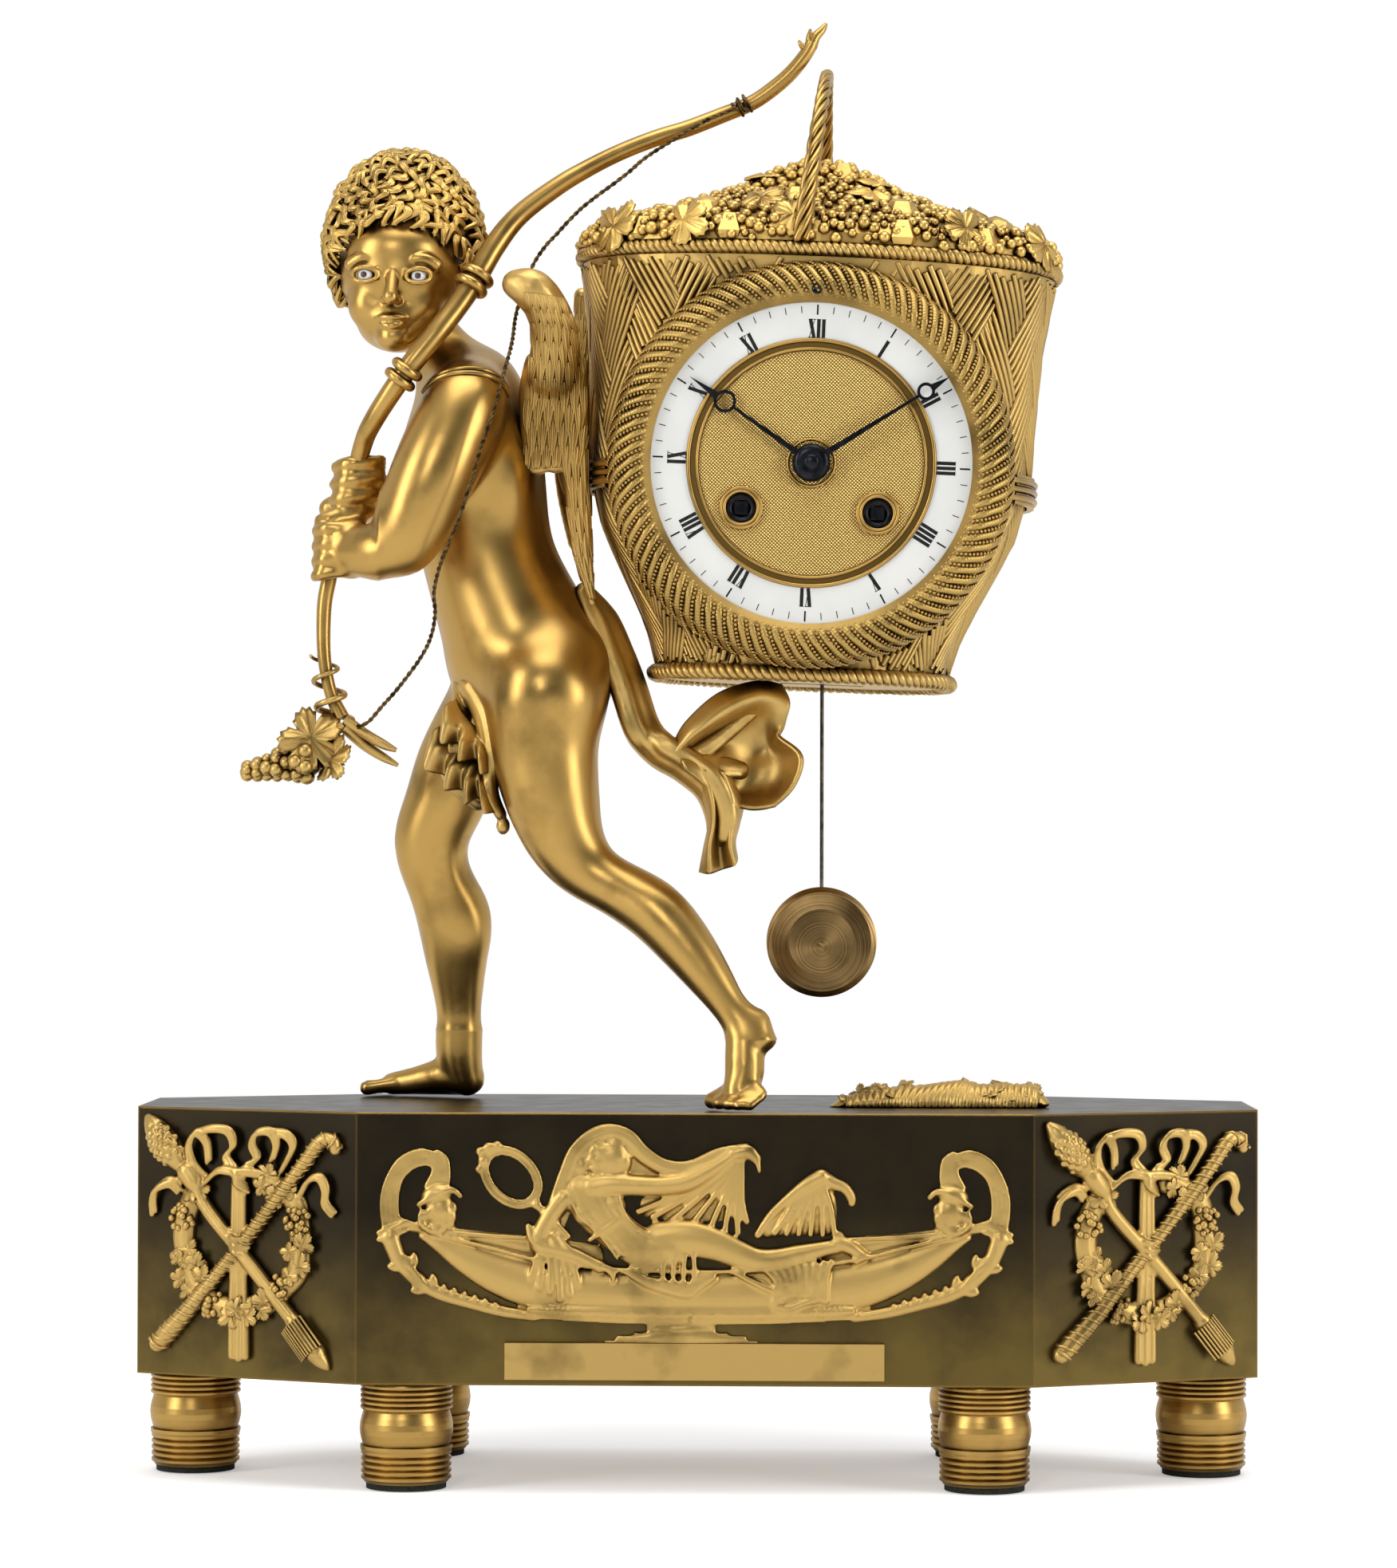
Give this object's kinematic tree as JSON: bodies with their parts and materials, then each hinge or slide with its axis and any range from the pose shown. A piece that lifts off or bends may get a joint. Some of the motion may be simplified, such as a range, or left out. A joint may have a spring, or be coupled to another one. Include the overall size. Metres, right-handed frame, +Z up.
{
  "type": "figural mantel clock",
  "caption": "Mantel clock: a winged boy with a bow carries a woven basket that holds the dial, on a canted plinth with turned feet and a hanging pendulum.",
  "frame": {"origin": "centre of the plinth's plan, on the floor", "axes": "+X to the right of someone who faces the dial, +Y to the back, +Z up"},
  "size_m": [0.3441, 0.116, 0.451],
  "materials": {
    "patina": "dark patinated bronze, semi-gloss",
    "gilt": "matte gilding with burnished ridges",
    "burnished": "burnished gilding",
    "felt": "dark felt",
    "iron": "dark steel",
    "enamel": "glossy white enamel",
    "wire": "dark twisted wire",
    "movement_brass": "brushed brass",
    "bell_metal": "turned bell metal",
    "blued_steel": "blued steel"
  },
  "bodies": {
    "case": {"plinth_shell": "patina", "front_relief": "gilt", "front_plaque": "gilt", "trophy_left": "gilt", "trophy_right": "gilt", "leaf_mount": "gilt", "near_wing": "gilt", "far_wing": "gilt", "hip_cloth": "gilt", "back_cloth": "gilt", "bow": "gilt", "bow_tendril": "gilt", "grape_cluster": "gilt", "basket_shell": "gilt", "basket_floor": "gilt", "basket_base_rope": "gilt", "basket_rim_rope": "gilt", "basket_belt": "gilt", "basket_heap": "gilt", "basket_handle": "gilt", "foot_front_left": "burnished", "foot_front_right": "burnished", "foot_back_left": "burnished", "foot_back_right": "burnished", "foot_end_left": "burnished", "foot_end_right": "burnished", "figure_body": "burnished", "figure_head": "burnished", "near_arm": "burnished", "far_arm": "burnished", "bow_collars": "burnished", "bezel": "burnished", "dial_centre": "burnished", "rear_bezel": "burnished", "foot_pads": "felt", "foot_nuts": "iron", "figure_eyes": "enamel", "enamel_ring": "enamel", "bow_string": "wire", "plinth_base_plate": "movement_brass", "dial_plate": "movement_brass", "movement_frame": "movement_brass", "bell": "bell_metal"},
    "minute": {"centre_arbor": "movement_brass", "minute_hand": "blued_steel"},
    "hour": {"hour_wheel": "movement_brass", "hour_hand": "blued_steel"},
    "minute_train": {"minute_wheel": "movement_brass"},
    "escape": {"escape_wheel": "movement_brass"},
    "anchor": {"anchor": "blued_steel"},
    "pendulum": {"pendulum_rod": "iron", "pendulum_bob": "movement_brass"},
    "going_barrel": {"going_barrel": "movement_brass"},
    "strike_barrel": {"strike_barrel": "movement_brass"},
    "going_square": {"going_square": "blued_steel"},
    "strike_square": {"strike_square": "blued_steel"},
    "count_wheel": {"count_wheel": "movement_brass"},
    "hammer": {"hammer": "blued_steel"},
    "rear_door": {"rear_door": "movement_brass"}
  },
  "joints": [
    {"name": "minute_turn", "type": "hinge", "parent": "case", "child": "minute", "pos_m": [0.0346, 0, 0.3106], "axis": [0, 1, 0], "continuous": true},
    {"name": "hour_turn", "type": "hinge", "parent": "case", "child": "hour", "pos_m": [0.0346, 0, 0.3106], "axis": [0, 1, 0], "continuous": true},
    {"name": "minute_wheel_turn", "type": "hinge", "parent": "case", "child": "minute_train", "pos_m": [0.02375, 0, 0.32236], "axis": [0, 1, 0], "continuous": true},
    {"name": "escape_turn", "type": "hinge", "parent": "case", "child": "escape", "pos_m": [0.03784, 0, 0.33049], "axis": [0, 1, 0], "continuous": true},
    {"name": "pendulum_swing", "type": "hinge", "parent": "case", "child": "pendulum", "pos_m": [0.0385, 0.008, 0.34697], "axis": [0, 1, 0], "range_deg": [-4, 4]},
    {"name": "anchor_swing", "type": "hinge", "parent": "case", "child": "anchor", "pos_m": [0.0385, 0.008, 0.34697], "axis": [0, 1, 0], "range_deg": [-4, 4]},
    {"name": "going_barrel_turn", "type": "hinge", "parent": "case", "child": "going_barrel", "pos_m": [0.05461, 0, 0.29539], "axis": [0, 1, 0], "continuous": true},
    {"name": "strike_barrel_turn", "type": "hinge", "parent": "case", "child": "strike_barrel", "pos_m": [0.01344, 0, 0.29704], "axis": [0, 1, 0], "continuous": true},
    {"name": "going_winding", "type": "hinge", "parent": "case", "child": "going_square", "pos_m": [0.05461, 0, 0.29539], "axis": [0, 1, 0], "continuous": true},
    {"name": "strike_winding", "type": "hinge", "parent": "case", "child": "strike_square", "pos_m": [0.01344, 0, 0.29704], "axis": [0, 1, 0], "continuous": true},
    {"name": "count_wheel_turn", "type": "hinge", "parent": "case", "child": "count_wheel", "pos_m": [0.01142, 0, 0.33155], "axis": [0, 1, 0], "continuous": true},
    {"name": "hammer_lift", "type": "hinge", "parent": "case", "child": "hammer", "pos_m": [0.06361, 0, 0.28541], "axis": [0, 1, 0], "range_deg": [0, 14]},
    {"name": "door_opening", "type": "hinge", "parent": "case", "child": "rear_door", "pos_m": [-0.01486, 0.0531, 0.31259], "axis": [0.0401, 0, 0.9992], "range_deg": [0, 100]}
  ],
  "couplings": [
    {"joint": "hour_turn", "follows": "minute_turn", "ratio": 0.083333},
    {"joint": "minute_wheel_turn", "follows": "minute_turn", "ratio": -0.32489},
    {"joint": "going_barrel_turn", "follows": "minute_turn", "ratio": -0.18333},
    {"joint": "anchor_swing", "follows": "pendulum_swing", "ratio": 1}
  ]
}
